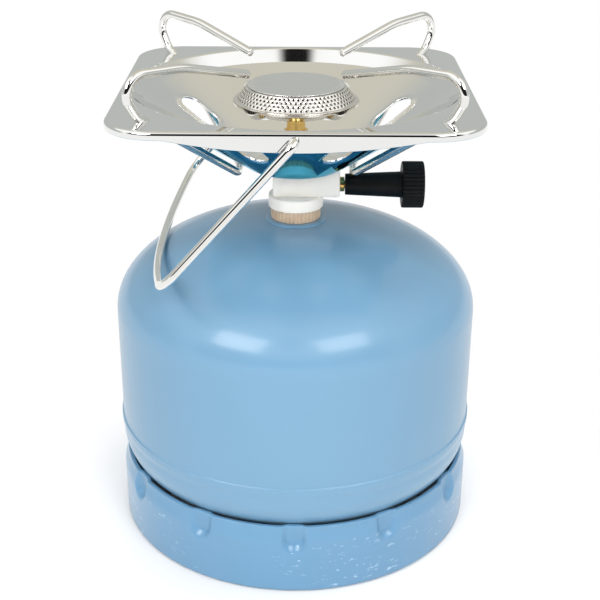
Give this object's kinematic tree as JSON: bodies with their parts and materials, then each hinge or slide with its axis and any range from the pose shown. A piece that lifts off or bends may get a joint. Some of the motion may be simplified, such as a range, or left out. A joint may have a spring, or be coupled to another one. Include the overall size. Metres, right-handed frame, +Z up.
{
  "type": "portable gas stove",
  "caption": "Single-burner camping stove with a square bright tray, wire pan supports and a carrying bail, screwed onto a squat refillable gas cylinder.",
  "frame": {"origin": "on the cylinder's axis at the surface the foot ring stands on", "axes": "+Z up along the cylinder's axis, +X along the tap's spindle towards the knob, -Y towards the front of the tray"},
  "size_m": [0.2036, 0.2036, 0.2775],
  "materials": {
    "blue_paint": "gloss light-blue paint on steel, fine orange peel, worn on the foot ring",
    "bright_chrome": "mirror-bright chrome on pressed steel and wire",
    "burner_steel": "bright pressed steel, satin on the top disc",
    "brass": "turned brass",
    "plain_steel": "plain zinc-coated steel",
    "pale_nickel": "pale satin nickel",
    "seal_rubber": "black nitrile rubber",
    "black_plastic": "fine-textured black moulded plastic"
  },
  "bodies": {
    "cylinder": {"cylinder_upper_shell": "blue_paint", "cylinder_lower_shell": "blue_paint", "girth_weld": "blue_paint", "foot_ring": "blue_paint", "neck_boss": "blue_paint", "bottle_valve_body": "brass", "bottle_valve_ball": "plain_steel", "bottle_valve_spring": "plain_steel", "bottle_valve_retainer": "plain_steel"},
    "inlet_washer": {"coupling_seal": "seal_rubber"},
    "stove": {"burner_band": "burner_steel", "burner_cap": "burner_steel", "burner_cup": "burner_steel", "clamp_washer": "plain_steel", "coupling_collar": "pale_nickel", "gas_filter": "brass", "gas_jet": "brass", "gland_nut": "brass", "jet_holder": "brass", "mixing_tube": "brass", "pan_support_left": "bright_chrome", "pan_support_right": "bright_chrome", "pusher_pin": "plain_steel", "spindle_oring": "seal_rubber", "tap_body": "pale_nickel", "tray_dish": "bright_chrome"},
    "needle": {"tap_needle": "brass"},
    "tap": {"tap_spindle": "brass", "control_knob": "black_plastic", "knob_screw": "plain_steel"},
    "bail": {"bail_handle": "bright_chrome"}
  },
  "joints": [
    {"name": "stove_lift", "type": "slide", "parent": "cylinder", "child": "inlet_washer", "axis": [0, 0, 1], "range_m": [0, 0.0105]},
    {"name": "stove_turn", "type": "hinge", "parent": "inlet_washer", "child": "stove", "pos_m": [0, 0, 0.185], "axis": [0, 0, 1], "range_deg": [0, 2520]},
    {"name": "needle_slide", "type": "slide", "parent": "stove", "child": "needle", "axis": [1, 0, 0], "range_m": [0, 0.0017]},
    {"name": "knob_turn", "type": "hinge", "parent": "stove", "child": "tap", "pos_m": [0.045, 0, 0.19715], "axis": [1, 0, 0], "range_deg": [0, 540]},
    {"name": "bail_swing", "type": "hinge", "parent": "stove", "child": "bail", "pos_m": [0, 0, 0.24871], "axis": [0, 1, 0], "range_deg": [0, 277]}
  ],
  "couplings": [
    {"joint": "stove_lift", "follows": "stove_turn", "m_per_rad": 0.00023873},
    {"joint": "needle_slide", "follows": "knob_turn", "m_per_rad": 0.00015915}
  ]
}
